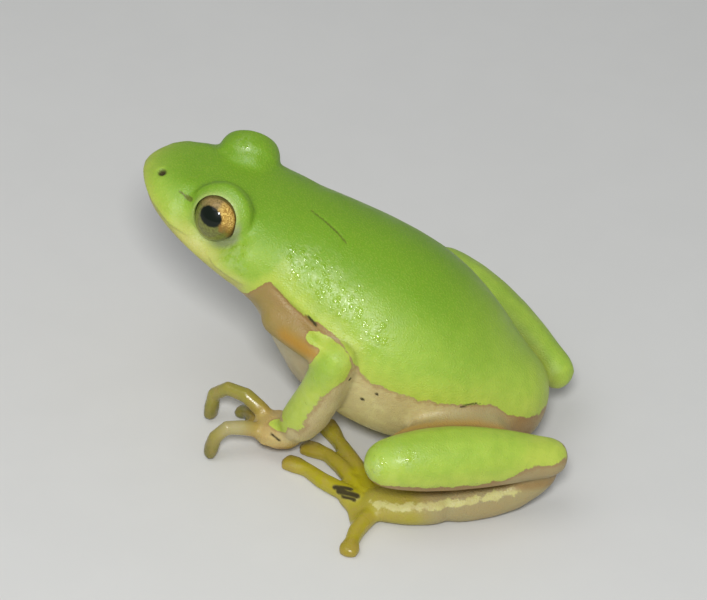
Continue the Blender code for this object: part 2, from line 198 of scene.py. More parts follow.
def add(name, data):
    """A new object in the scene."""
    thing = bpy.data.objects.new(name, data)
    bpy.context.scene.collection.objects.link(thing)
    return thing


def mesh_object(name, points, faces):
    mesh = bpy.data.meshes.new(name)
    mesh.from_pydata(points.tolist(), [], faces)
    return add(name, mesh)


def unit(vector):
    """A vector, or each row of several, made 1 long."""
    length = np.linalg.norm(vector, axis=-1, keepdims=True)
    return vector / np.maximum(length, 1e-12)


def step(low, high, value):
    """0 below low, 1 above high, and smooth in between. low may be the higher one."""
    t = np.clip((value - low) / (high - low), 0.0, 1.0)
    return t * t * (3.0 - 2.0 * t)


def bell(distance, width):
    return np.exp(-((distance / width) ** 2))


def gap(points, place):
    return np.linalg.norm(points - place, axis=1)


def middle(node):
    low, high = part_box(node)
    return (np.array(low) + np.array(high)) * (MM / 2)


# The body line's own axes, one to a row: place along it from the vent, side to the frog's left, and
# height over it. VENT is where it starts.
ALONG = (0.0, -math.cos(BODY_PITCH), math.sin(BODY_PITCH))
OVER = (0.0, math.sin(BODY_PITCH), math.cos(BODY_PITCH))
BODY_AXES = np.array((ALONG, (1.0, 0.0, 0.0), OVER))
VENT = (middle("eye_left") + middle("eye_right")) / 2 - (EYE_PLACE, 0.0, EYE_HEIGHT) @ BODY_AXES


# ---- the skin's surface


def taken(items, name, each, kind):
    """One property of all of a mesh's items, in a flat array."""
    values = np.empty(len(items) * each, kind)
    items.foreach_get(name, values)
    return values


def solid(node):
    """Points and triangles of a CAD solid in millimetres, with every shared corner joined."""
    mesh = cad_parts[node].data
    mesh.calc_loop_triangles()
    points = taken(mesh.vertices, "co", 3, np.float32)
    faces = taken(mesh.loop_triangles, "vertices", 3, np.int32)
    rounded = np.round(points.reshape(-1, 3).astype(float) * MM, 4)
    points, index = np.unique(rounded, axis=0, return_inverse=True)
    faces = index.reshape(-1)[faces].reshape(-1, 3)
    return points, faces[(faces != np.roll(faces, 1, axis=1)).all(axis=1)]


def normals_of(points, faces):
    """Outward direction at each point: the faces' own directions, each counted by its area."""
    across = points[faces[:, 2]] - points[faces[:, 0]]
    along = points[faces[:, -1]] - points[faces[:, 1]]
    outward = np.cross(across, along)
    total = np.zeros_like(points)
    for corner in range(faces.shape[1]):
        for axis in range(3):
            total[:, axis] += np.bincount(faces[:, corner], outward[:, axis], len(points))
    return unit(total)


class Surface:
    """The points and four-sided faces of the skin, with the means to smooth and push them."""

    def __init__(self, points, quads):
        self.points, self.quads = points, quads
        # Two faces share each edge of the closed skin, so that it is here once each way round.
        self.start, self.end = quads.ravel(), np.roll(quads, -1, axis=1).ravel()
        self.around = np.bincount(self.start)

    def average(self, values):
        """The mean of a value over each point's neighbours."""
        return np.bincount(self.start, values[self.end]) / self.around

    def relax(self, weight, rounds, full=False):
        """Smooths the surface. full keeps thin limbs thick, by stepping back each time."""
        for _ in range(rounds):
            for factor in (STEP_IN, STEP_BACK) if full else (STEP_IN,):
                mean = np.stack([self.average(self.points[:, axis]) for axis in range(3)], axis=1)
                self.points = self.points + (mean - self.points) * (factor * weight)[:, None]

    def spread(self, values, rounds):
        for _ in range(rounds):
            values = (values + self.average(values)) / 2
        return values

    def normals(self):
        return normals_of(self.points, self.quads)

    def push(self, amount):
        self.points = self.points + self.normals() * np.asarray(amount)[..., None]


def largest_shell(quads, count):
    """The faces of the largest closed shell. Growing together can leave a tiny pocket inside."""
    shell = np.arange(count)
    while True:
        lowest = shell[quads].min(axis=1)
        linked = shell.copy()
        for corner in quads.T:
            np.minimum.at(linked, shell[corner], lowest)
        linked = linked[linked]
        if np.array_equal(linked, shell):
            return quads[shell[quads[:, 0]] == np.bincount(shell).argmax()]
        shell = linked


def fused_flesh(grain, swell):
    """The flesh solids, each swollen a little, grown together into one closed surface."""
    points, faces, count = [], [], 0
    for node in FLESH:
        corners, triangles = solid(node)
        points.append(corners + normals_of(corners, triangles) * swell)
        faces.append(triangles + count)
        count += len(corners)
    flesh = mesh_object("flesh", np.concatenate(points), np.concatenate(faces).tolist())
    remesh = flesh.modifiers.new("grow together", "REMESH")
    remesh.mode = "VOXEL"
    remesh.voxel_size = grain
    grown = flesh.evaluated_get(bpy.context.evaluated_depsgraph_get()).to_mesh()
    corners = taken(grown.vertices, "co", 3, np.float32)
    quads = taken(grown.loops, "vertex_index", 1, np.int32)
    bpy.data.meshes.remove(flesh.data)
    quads = largest_shell(quads.reshape(-1, 4), len(corners) // 3)
    kept, index = np.unique(quads, return_inverse=True)
    return Surface(corners.reshape(-1, 3)[kept].astype(float), index.reshape(-1, 4))


def distances(points):
    """How far each point lies from each flesh solid, up to REACH. One row for each node."""
    rows = np.full((len(FLESH), len(points)), REACH)
    for row, node in enumerate(FLESH):
        corners, triangles = solid(node)
        tree = BVHTree.FromPolygons(corners.tolist(), triangles.tolist())
        close = (points > corners.min(0) - REACH) & (points < corners.max(0) + REACH)
        for index in np.flatnonzero(close.all(axis=1)):
            distance = tree.find_nearest(points[index], REACH)[3]
            if distance is not None:
                rows[row, index] = distance
    return rows


class Lie:
    """Where each point of the skin lies: its nearest solids, and its place on the body line."""

    def __init__(self, points):
        self.away = distances(points)
        share = np.exp(-(self.away - self.away.min(0)) / SOFTNESS)
        self.share = share / share.sum(0)
        self.points = points
        self.place, self.side, self.height = BODY_AXES @ (points - VENT).T
        from_eyes = np.minimum(*[gap(points, middle(eye)) for eye in EYES])
        self.clear_of_eyes = step(LIDS_END, HEAD_BEGINS, from_eyes)

    def on(self, *starts):
        """How much each point belongs to the nodes whose names start so, from 0 to 1."""
        return self.share[[node.startswith(starts) for node in FLESH]].sum(0)

    def nearest(self, start):
        """Distance to the closest of the nodes whose names start so."""
        return self.away[[node.startswith(start) for node in FLESH]].min(0)

    def from_body(self, *place):
        """Distance to a place on the body line."""
        return gap(self.points, VENT + place @ BODY_AXES)

    def fold(self, one, other, width):
        """1 in the crease where two groups of solids meet, fading to 0 within about width of it."""
        return bell(np.maximum(self.nearest(one), self.nearest(other)), width)

    def seat(self, *place):
        """The skin's own point that lies closest to a place on the body line."""
        return self.points[np.argmin(self.from_body(*place))]

    def from_seat(self, *place):
        return gap(self.points, self.seat(*place))

    def from_line(self, start, end):
        """Distance to the straight line between the seats of two places on the body line."""
        seat, along = self.seat(*start), self.seat(*end) - self.seat(*start)
        share = np.clip((self.points - seat) @ along / (along @ along), 0, 1)
        return gap(self.points, seat + share[:, None] * along)


# ---- modelling the skin


def facing(side, way):
    """A way out of one side of the head, and the ways across it to the nose and to the brow."""
    axis = unit(way) * (OUT[side], 1.0, 1.0)
    ahead = unit(ALONG - axis * (ALONG @ axis))
    return axis, ahead, np.cross(ahead, axis) * OUT[side]


def eye_radius(side):
    low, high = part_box(f"eye_{side}")
    return (high[2] - low[2]) * MM / 2


class AroundEye:
    """Where points lie about an eye: distance, angle from the lids' aim, and share ahead and up."""

    def __init__(self, points, side, opening):
        self.axis, forward, upward = facing(side, LID_AIM)
        offset = points - middle(f"eye_{side}")
        out = offset @ self.axis
        self.length = np.linalg.norm(offset, axis=1)
        self.angle = np.arccos(np.clip(out / self.length, -1, 1))
        self.across = unit(offset - np.outer(out, self.axis))
        self.ahead, self.up = self.across @ forward, self.across @ upward
        steep = self.across[:, 2]
        lower = np.where(steep > 0, 3.0, 28.0) * steep**2
        self.margin = np.radians(opening + lower - 4.0 * np.maximum(-self.ahead, 0.0) ** 2)

    def place(self, length, angle):
        along = np.outer(length * np.cos(angle), self.axis)
        return along + self.across * (length * np.sin(angle))[:, None]


def lid_openings(look):
    return {"left": look.left_opening, "right": look.right_opening}


def shape_lids(skin, look):
    """Each lid is a dome that thins towards its margin and meets the eye in a fine raised rim."""
    for side, opening in lid_openings(look).items():
        radius = eye_radius(side)
        # Over this angle from its margin a lid rises from its rim to the dome.
        rise = math.radians(opening**2 / 125.0)
        eye = AroundEye(skin.points, side, opening)
        near = (eye.length < radius + LID_REACH) & (eye.angle < LID_TURN)
        # The skin from edge to full moves back, to lie from the margin to full.
        edge, full = math.radians(41.0), math.radians(96.0)
        turned = eye.margin + (eye.angle - edge) * (full - eye.margin) / (full - edge)
        turned = np.where(eye.angle < full, np.maximum(turned, eye.margin - 0.04), eye.angle)
        from_margin = turned - eye.margin
        brow = step(-0.5, 0.7, eye.ahead * BROW[side][0] + eye.up * BROW[side][1])
        dome = radius + 0.34 + look.lid_bulge * MM * brow
        proud = np.logaddexp(eye.length / 0.07, dome / 0.07) * 0.07
        rim = radius + 0.15 + 0.1 * bell(from_margin - 0.10, 0.10)
        outer = rim + (proud - rim) * step(0.0, rise, from_margin)
        inner = np.maximum(eye.length, radius)
        is_outer = step(radius + 0.12, radius + 0.32, eye.length)
        fade = step(radius + LID_REACH, radius + 1.2, eye.length)
        fade = fade * step(LID_TURN, math.radians(98.0), eye.angle)
        length = eye.length + (inner + (outer - inner) * is_outer - eye.length) * fade
        angle = eye.angle + (turned - eye.angle) * fade
        moved = middle(f"eye_{side}") + eye.place(length, angle)
        skin.points = np.where(near[:, None], moved, skin.points)


def lid_border(skin):
    """1 on the ring round each eye where the raised lids run out into the head."""
    ring = np.zeros(len(skin.points))
    for eye in EYES:
        away = gap(skin.points, middle(eye)) - eye_radius(eye[4:])
        ring = np.maximum(ring, step(1.0, 1.4, away) * step(2.6, 2.0, away))
    return ring


def shape_lips(skin, lie):
    """The upper lip stands a little out over the lower jaw, along the closed mouth."""
    head, jaw = lie.nearest("head"), lie.nearest("lower_jaw")
    along = step(24.5, 26.5, lie.place) * lie.clear_of_eyes
    upper = step(-0.15, 0.2, jaw - head) * bell(jaw, 0.85) * along
    lower = step(-0.15, 0.2, head - jaw) * bell(head, 1.1) * along
    level = skin.normals()
    level[:, 2] = 0.0
    skin.points = skin.points + level * (0.15 * upper - 0.16 * lower)[:, None]
    skin.points[:, 2] -= 0.08 * upper - 0.05 * lower


def sculpt(skin, lie):
    """Adds nostrils, brows, cheeks, folds, fine grooves and the raised edge over the arm."""
    skin.nostrils = np.minimum(*[lie.from_seat(*nostril) for nostril in NOSTRILS])
    push = 0.12 * bell(skin.nostrils, 0.7) - 0.45 * bell(skin.nostrils, 0.3)
    for out in OUT.values():
        push += 0.16 * bell(lie.from_body(32.4, 2.55 * out, 2.75), 1.1)
        push -= 0.10 * bell(lie.from_body(32.8, 3.6 * out, 1.7), 1.0)
    for pair in FOLDS:
        push -= FOLD_DEPTH * lie.fold(*pair, 0.3)
    push -= 0.06 * lie.fold("head", "lower_jaw", 0.22) * step(25.5, 27.0, lie.place)
    for line in STREAKS:
        push -= 0.05 * streak(lie, *line)
    over_arm = step(13.5, 15.5, lie.place) * step(24.0, 22.5, lie.place)
    ridge = 0.12 * bell(green_edge(lie) - 0.45, 0.4) - 0.18 * bell(green_edge(lie) + 0.12, 0.2)
    push += lie.on("upper_arm", "trunk") * over_arm * ridge
    skin.push(push * (0.25 + 0.75 * lie.clear_of_eyes))


def green_edge(lie):
    """Height of each point over the lower edge of the green on the trunk and the head."""
    return lie.height - np.interp(lie.place, *zip(*GREEN_EDGE))


def skin_surface(look):
    """The whole shape of the skin, flat where it rests on the floor, and where its points lie."""
    skin = fused_flesh(look.grain * MM, look.swell * MM)
    lie = Lie(skin.points)
    fine = np.clip(lie.on("finger", "toe", "hand") + 0.6 * lie.on("foot"), 0, 1)
    lids = 1 - lie.clear_of_eyes
    limbs = lie.on("forearm", "upper_arm", "shank", "tarsus", "thigh")
    thick = (1 - fine) * (1 - 0.93 * lids) * (1 - 0.6 * limbs)
    everywhere = np.ones(len(skin.points))
    skin.relax(everywhere, FIRST_ROUNDS, full=True)
    skin.relax(skin.spread(thick, 12), BROAD_ROUNDS)
    skin.push(-look.swell * MM * (0.85 - 0.45 * fine))
    skin.relax(everywhere, LAST_ROUNDS, full=True)
    shape_lids(skin, look)
    skin.relax(0.8 * lids, LID_ROUNDS)
    skin.relax(lid_border(skin), RING_ROUNDS)
    lie = Lie(skin.points)
    shape_lips(skin, lie)
    skin.relax(everywhere, 2)
    sculpt(skin, lie)
    skin.points[:, 2] = np.maximum(skin.points[:, 2], CAD_BOX[0][2] * MM)
    return skin, Lie(skin.points)


# ---- where each pigment, painted shade and painted sheen lies


def over_limb(lie, node, towards):
    """Distance from the plane through a limb's length, on the side that towards names."""
    points = solid(node)[0]
    centre = points.mean(0)
    axis = np.linalg.svd(points - centre, full_matrices=False)[2][0]
    return (lie.points - centre) @ unit(towards - axis * (towards @ axis))


def mirrored(line, out):
    """The ends of a line, carried over to the side of the body that out names."""
    return [(place, aside * out, height) for place, aside, height in line]


def limb_field(lie, node):
    """How far inside the green each point would lie, if the whole skin were this solid's."""
    out = OUT["right" if node.endswith("right") else "left"]
    if node in ("head", "trunk", "lower_jaw"):
        return green_edge(lie)
    if node.startswith("upper_arm"):
        return (lie.points - middle(node)) @ np.array((-0.5 * out, 0.6, 0.62)) - 1.1
    if node.startswith("forearm"):
        height = lie.points[:, 2] - middle(node)[2]
        behind = np.interp(height, *zip(*FOREARM_EDGE))
        return np.minimum(over_limb(lie, node, (0.45 * out, -0.85, 0.0)) - behind, height + 3.1)
    if node.startswith("shank"):
        lower = 0.7 + 1.3 * step(3.0, 0.5, lie.place) if out < 0 else 0.0
        edge = np.interp(lie.place, *zip(*SHANK_EDGE)) - lower
        return over_limb(lie, node, (0.45 * out, 0.0, 0.9)) - edge
    if node.startswith("tarsus"):
        return -0.8 - lie.nearest("shank" + node[6:])
    return np.full(len(lie.points), BARE)


def green_field(lie):
    """Roughly how many millimetres each point lies inside the green, and below 0 outside it."""
    field = (np.array([limb_field(lie, node) for node in FLESH]) * lie.share).sum(0)
    for side, out in OUT.items():
        crook = middle(f"forearm_{side}") + CROOK * (out, 1.0, 1.0)
        field -= 2.6 * bell(gap(lie.points, crook), 1.15)
        field = np.maximum(field, 2.2 * (0.62 - lie.from_line(*mirrored(ELBOW_TONGUE, out))))
        for line in zip(ELBOW_CREASE, ELBOW_CREASE[1:]):
            field = np.minimum(field, 4.0 * (lie.from_line(*mirrored(line, out)) - 0.13))
    return np.maximum(field, 2.2 * (0.45 - lie.from_line(*WRIST_PATCH)))


def tips_of_digits(skin):
    """Distance to the closest end of a finger or toe."""
    tips = []
    for node in DIGITS:
        points = solid(node)[0]
        root = middle(("hand" if node.startswith("finger") else "foot") + node[node.rindex("_") :])
        tips.append(gap(skin.points, points[np.argmax(gap(points, root))]))
    return np.minimum.reduce(tips)


def lid_zones(skin, look):
    """The thin pale rim of the lids, and the greyish membrane at the rear corner of each eye."""
    rim, membrane = np.zeros((2, len(skin.points)))
    for side, opening in lid_openings(look).items():
        eye = AroundEye(skin.points, side, opening)
        close = step(0.9, 0.5, eye.length - eye_radius(side))
        from_margin = eye.angle - eye.margin
        rim = np.maximum(rim, close * bell(from_margin, 0.16))
        corner = step(0.5, 0.9, -0.9 * eye.ahead - 0.44 * eye.up)
        membrane = np.maximum(membrane, close * corner * step(0.30, 0.14, from_margin))
    return rim, membrane


def streak(lie, start, end, width):
    """1 along a line on the skin between two places on the body line, and 0 beyond its width."""
    return step(width, 0.5 * width, lie.from_line(start, end))


def wetness(skin, lie):
    """How much the skin glistens and is painted paler as sheen: forearms, the front ends of the
    shanks, and WET's places.
    """
    wet = 0.28 * lie.on("forearm")
    for side in OUT:
        points = solid(f"shank_{side}")[0]
        wet = np.maximum(wet, 0.6 * bell(gap(skin.points, points[np.argmin(points[:, 1])]), 2.8))
    for place, sides, height, width in WET:
        for aside in sides:
            wet = np.maximum(wet, bell(lie.from_seat(place, aside, height), width))
    return wet


def body_masks(lie, down):
    """Soft masks of body and arms: each one's values, and how many rounds it is spread."""
    upper = lie.on("trunk", "head")
    crown = np.interp(lie.place, (16.0, 29.0), (6.5, 3.3))
    # The back mask also places the painted shade of the back, strongest towards the head.
    back = upper * step(1.0, crown, lie.height) * step(8.5, 3.0, np.abs(lie.side))
    back = back * (0.35 + 0.65 * step(4.0, 14.0, lie.place))
    back = np.maximum(back, 0.42 * upper * step(13.0, 18.0, lie.place) * step(0.0, 1.8, lie.height))
    jaws = lie.on("head", "lower_jaw") * step(24.0, 26.0, lie.place) * step(33.0, 30.5, lie.place)
    mouth = np.maximum(lie.nearest("head"), lie.nearest("lower_jaw"))
    palm = lie.on("hand") + lie.on("finger") * bell(lie.nearest("hand"), 1.2)
    warm = 0.85 * lie.on("thigh", "trunk") * step(1.0, 0.3, lie.nearest("shank"))
    warm = warm + palm * (0.4 + 0.35 * down)
    rump = 0.0
    for out in OUT.values():
        warm = warm + 0.9 * bell(lie.from_line(*mirrored(WARM_CROOK, out)), 0.62)
        rump = rump + 1.6 * bell(lie.from_body(1.6, 3.2 * out, 0.4), 1.6)
    throat = step(14.0, 19.0, lie.place) * step(-4.0, -2.5, lie.height)
    chest = lie.on("trunk") * step(14.0, 18.0, lie.place) * step(0.0, -2.5, lie.height)
    return {
        "back": (back, 12),
        "lip": (jaws * step(1.05, 0.4, mouth), 6),
        "jaw": (lie.on("lower_jaw"), 4),
        "digit": (lie.on("finger", "toe"), 6),
        "rump": (rump, 6),
        "warm": (warm, 8),
        "chest": (chest, 16),
        "arm": (lie.on("upper_arm") + upper * throat, 8),
    }


def leg_masks(lie, outward):
    """Soft masks of the hind legs: each one's values, and how many rounds it is spread."""
    toes = lie.on("toe") + lie.on("foot") * step(0.6, 3.2, lie.nearest("tarsus"))
    cream_height = np.interp(lie.place, (-0.3, 1.2, 3.2, 5.3, 7.7), (2.9, 2.4, 2.1, 2.05, 1.6))
    cream_width = np.interp(lie.place, (0.0, 2.0), (0.46, 0.30))
    cream = bell(lie.points[:, 2] - cream_height, cream_width) * step(0.0, 0.4, outward)
    cream = cream * lie.on("tarsus", "foot") * step(-1.6, -0.2, lie.place)
    # Partly brown skin, partly painted shade: the tarsus and foot darken where they tuck under the
    # shank.
    band = lie.on("tarsus", "foot") * step(1.2, 0.6, lie.nearest("shank"))
    band = band + lie.on("shank") * step(0.5, 2.0, lie.place)
    lower_leg = lie.on("tarsus", "foot", "shank", "thigh") + 0.35 * lie.on("forearm", "hand")
    lower_leg = lower_leg + lie.on("trunk") * step(10.0, 5.0, lie.place)
    return {"toe": (toes, 10), "shin": (lower_leg, 6), "band": (band, 4), "cream": (cream, 3)}


def zones(skin, lie, look):
    """The masks and distances that the skin's material reads, by name."""
    normals = skin.normals()
    soft = body_masks(lie, step(0.1, 0.9, -normals[:, 2]))
    soft.update(leg_masks(lie, normals[:, 0] * np.sign(lie.side)))
    masks = {name: np.clip(skin.spread(*mask), 0, 1) for name, mask in soft.items()}
    masks["green"] = skin.spread(green_field(lie), 4)
    masks["rim"], masks["membrane"] = lid_zones(skin, look)
    masks["tip"] = step(2.4, 0.4, tips_of_digits(skin))
    masks["wet"] = wetness(skin, lie)
    specks = [step(size, 0.55 * size, lie.from_seat(*where)) for *where, size in SPECKS]
    lines = [streak(lie, *line) for line in DARK_LINES]
    # The specks and lines are real marks; the nostrils are painted dark as shade in their pits.
    masks["dark"] = np.maximum.reduce([*specks, *lines, step(0.42, 0.2, skin.nostrils)])
    masks["streak"] = np.maximum.reduce([streak(lie, *line) for line in STREAKS])
    # Painted shade: the creases between parts, and the groove between the far shank and the trunk.
    groove = np.interp(lie.place, (1.5, 4.5, 6.5, 10.0), (0.8, 1.5, 1.5, 1.2))
    painted_fold_shade = [lie.fold(*pair, 0.33) for pair in FOLDS]
    painted_fold_shade.append(1.9 * lie.on("shank_right") * bell(lie.nearest("trunk"), groove))
    masks["fold"] = np.maximum.reduce(painted_fold_shade)
    return masks


# ---- material helpers


class Nodes:
    """Short ways to add and join shader nodes in one tree."""

    def __init__(self, tree):
        self.tree = tree

    def new(self, kind, first_inputs=(), **settings):
        """A new node with its settings, and its first inputs filled in order."""
        node = self.tree.nodes.new("ShaderNode" + kind)
        for name, value in settings.items():
            setattr(node, name, value)
        for value, socket in zip(first_inputs, node.inputs):
            self.link(value, socket)
        return node

    def link(self, value, socket):
        """Joins a socket to another one, or sets it. A colour gets its alpha here."""
        if isinstance(value, bpy.types.NodeSocket):
            self.tree.links.new(value, socket)
        else:
            socket.default_value = (*value, 1.0) if socket.type == "RGBA" else value

    def fill(self, node, **values):
        """Joins or sets a node's inputs by name, and gives back its outputs."""
        for name, value in values.items():
            self.link(value, node.inputs[name.replace("_", " ")])
        return node.outputs

    def math(self, operation, *values, clamp=False):
        return self.new("Math", values, operation=operation, use_clamp=clamp).outputs[0]

    def times(self, first, *others):
        for other in others:
            first = self.math("MULTIPLY", first, other)
        return first

    def most(self, first, *others):
        for other in others:
            first = self.math("MAXIMUM", first, other)
        return first

    def span(self, value, low, high, to_low=0.0, to_high=1.0):
        """value between low and high, smoothly carried over to to_low and to_high."""
        given = (value, low, high, to_low, to_high)
        return self.new("MapRange", given, interpolation_type="SMOOTHSTEP").outputs[0]

    def mix(self, amount, first, second):
        node = self.new("Mix", data_type="RGBA")
        return self.fill(node, Factor=amount, A=first, B=second)["Result"]

    def layers(self, colour, *coats):
        """Tints laid over a colour in turn, each by its own amount."""
        for amount, coat in coats:
            colour = self.mix(amount, colour, coat)
        return colour

    def mask(self, name, output="Fac"):
        """What the mesh stores under this name."""
        return self.new("Attribute", attribute_name=name).outputs[output]

    def noise(self, vector, scale, detail=2.0, roughness=0.5):
        more = {"Detail": detail, "Roughness": roughness}
        return self.fill(self.new("TexNoise"), Vector=vector, Scale=scale, **more)["Fac"]

    def ripple(self, vector, scale, reach, detail, roughness=0.5):
        """Noise that runs to either side of 0, over reach in all."""
        noise = self.noise(vector, scale, detail, roughness)
        return self.math("MULTIPLY_ADD", noise, reach, -reach / 2)

    def cells(self, vector, scale):
        node = self.new("TexVoronoi", feature="SMOOTH_F1")
        return self.fill(node, Vector=vector, Scale=scale, Smoothness=0.6)["Distance"]

    def parts(self, vector):
        return self.new("SeparateXYZ", (vector,)).outputs

    def place(self):
        return self.new("TexCoord").outputs["Object"]

    def bump(self, **values):
        return self.fill(self.new("Bump"), **values)["Normal"]

    def group(self, name, maker, **values):
        """A node group of this name, which its maker builds the first time."""
        tree = bpy.data.node_groups.get(name) or maker(name)
        return self.fill(self.new("Group", node_tree=tree), **values)

    def mottled(self, where, colour, patches, per_metre, strength):
        return self.group(
            "Mottle", mottle_group, Vector=where, Colour=colour, Patch_colour=patches,
            Patches_per_metre=per_metre, Strength=strength,
        )["Colour"]


def new_material(name):
    material = bpy.data.materials.new(name)
    material.use_nodes = True
    material.node_tree.nodes.clear()
    nodes = Nodes(material.node_tree)
    shader = nodes.new("BsdfPrincipled")
    nodes.new("OutputMaterial", [shader.outputs["BSDF"]])
    return material, nodes, shader


def new_group(name, outputs, **inputs):
    """A node group with a Vector input, and a colour or a number for each default that is given."""
    tree = bpy.data.node_groups.new(name, "ShaderNodeTree")
    tree.interface.new_socket("Vector", in_out="INPUT", socket_type="NodeSocketVector")
    for socket, default in inputs.items():
        kind = "NodeSocketFloat" if isinstance(default, float) else "NodeSocketColor"
        made = tree.interface.new_socket(socket.replace("_", " "), in_out="INPUT", socket_type=kind)
        made.default_value = default
    for socket in outputs:
        kind = "NodeSocketColor" if socket == "Colour" else "NodeSocketFloat"
        tree.interface.new_socket(socket, in_out="OUTPUT", socket_type=kind)
    start = tree.nodes.new("NodeGroupInput")
    end = tree.nodes.new("NodeGroupOutput")
    return tree, Nodes(tree), start.outputs, end


def mottle_group(name):
    """Soft uneven colour: two sizes of cloudy patches laid over a base colour."""
    base, patch = (0.5, 0.5, 0.5, 1), (0.4, 0.4, 0.4, 1)
    tree, nodes, given, end = new_group(
        name, ["Colour"], Colour=base, Patch_colour=patch, Patches_per_metre=300.0, Strength=0.4
    )
    where, per_metre = given["Vector"], given["Patches per metre"]
    wide = nodes.noise(where, per_metre, 3.0)
    fine = nodes.noise(where, nodes.times(per_metre, 4.3))
    both = nodes.math("MULTIPLY_ADD", fine, 0.4, nodes.times(wide, 0.6))
    amount = nodes.times(nodes.span(both, 0.38, 0.62), given["Strength"])
    nodes.fill(end, Colour=nodes.mix(amount, given["Colour"], given["Patch colour"]))
    return tree


def granule_group(name):
    """Rounded skin granules of two sizes, as a height and as a mask of their tops."""
    tree, nodes, given, end = new_group(name, ["Height", "Tops"], Granules_per_metre=3600.0)
    where, per_metre = given["Vector"], given["Granules per metre"]
    dome = nodes.span(nodes.cells(where, per_metre), 0.62, 0.05)
    small = nodes.span(nodes.cells(where, nodes.times(per_metre, 2.4)), 0.6, 0.1)
    large = nodes.times(dome, nodes.noise(where, nodes.times(per_metre, 0.28)))
    nodes.fill(end, Height=nodes.math("MULTIPLY_ADD", small, 0.22, large), Tops=dome)
    return tree


def drop_group(name):
    """Scattered small drops of moisture, as a height and as a mask."""
    tree, nodes, given, end = new_group(
        name, ["Height", "Mask"], Drops_per_metre=1500.0, Size=0.3, Cover=1.0
    )
    where, per_metre = given["Vector"], given["Drops per metre"]
    drops = nodes.fill(nodes.new("TexVoronoi"), Vector=where, Scale=per_metre)
    bigness, luck, _ = nodes.parts(drops["Color"])
    size = nodes.times(given["Size"], nodes.math("MULTIPLY_ADD", bigness, 0.6, 0.5))
    share = nodes.math("DIVIDE", drops["Distance"], size, clamp=True)
    dome = nodes.math("SUBTRACT", 1.0, nodes.times(share, share), clamp=True)
    kept = nodes.math("LESS_THAN", luck, given["Cover"])
    mask = nodes.times(nodes.span(dome, 0.0, 0.15), kept)
    nodes.fill(end, Height=nodes.times(dome, size, kept), Mask=mask)
    return tree


# ---- materials


def green_colours(nodes, look, where, inside, is_green):
    """The green of back and flanks, yellower towards its edge and palest along the lip."""
    patchy = nodes.span(nodes.noise(where, 1500.0, 3.0), 0.44, 0.62)
    green = nodes.layers(
        look.flank_green,
        # Painted shade: the back is darker, most of all towards the head, where it faces away from
        # the light.
        (nodes.mask("back"), look.back_green_and_shade),
        (nodes.times(is_green, nodes.span(inside, 2.5, 0.1), 0.7), look.edge_yellow),
        (nodes.mask("lip"), look.lip_yellow),
        # Painted sheen: the green pales in patches where the skin is wet.
        (nodes.times(nodes.mask("wet"), patchy, 0.33), look.painted_wet_sheen),
    )
    return nodes.mottled(where, green, look.deep_green, 260.0, 0.25)


def bare_colours(nodes, look, where, inside):
    """The bare skin of belly, throat, limbs and digits, and the brown line under the green, with
    some painted shade and sheen.
    """
    mask, span, times = nodes.mask, nodes.span, nodes.times
    uneven = nodes.ripple(where, 1500.0, 2.4, 4.0, 0.6)
    bare = nodes.layers(
        look.belly_cream,
        (mask("arm"), look.arm_peach),
        (mask("chest"), look.chest_white_and_sheen),
        (mask("shin"), look.shin_pink),
        (mask("digit"), look.finger_olive),
        (times(mask("tip"), 0.75), look.tip_olive),
        (mask("toe"), look.toe_yellow),
        (times(mask("tip"), mask("toe"), 0.45), look.band_brown_and_shade),
        (span(nodes.math("ADD", mask("cream"), uneven), 0.50, 0.85), look.cream_patch),
        (nodes.most(mask("band"), times(mask("rump"), 0.9)), look.band_brown_and_shade),
    )
    return nodes.layers(
        nodes.mottled(where, bare, look.blush_pink, 420.0, 0.30),
        # Partly painted shade: throat and upper arm turn brown just below the raised edge of the
        # green.
        (times(span(inside, -1.5, -0.1), mask("arm"), 0.35), look.edge_brown_and_shade),
        (times(span(inside, -2.2, -0.2), 0.3), look.blush_pink),
        (mask("warm"), look.crook_orange),
        # Painted sheen: the bare skin pales towards the chest's white where it is wet.
        (times(mask("wet"), 0.5), look.chest_white_and_sheen),
        (times(span(inside, -0.45, -0.05), span(inside, 0.16, -0.02), 0.45), look.edge_brown_and_shade),
    )


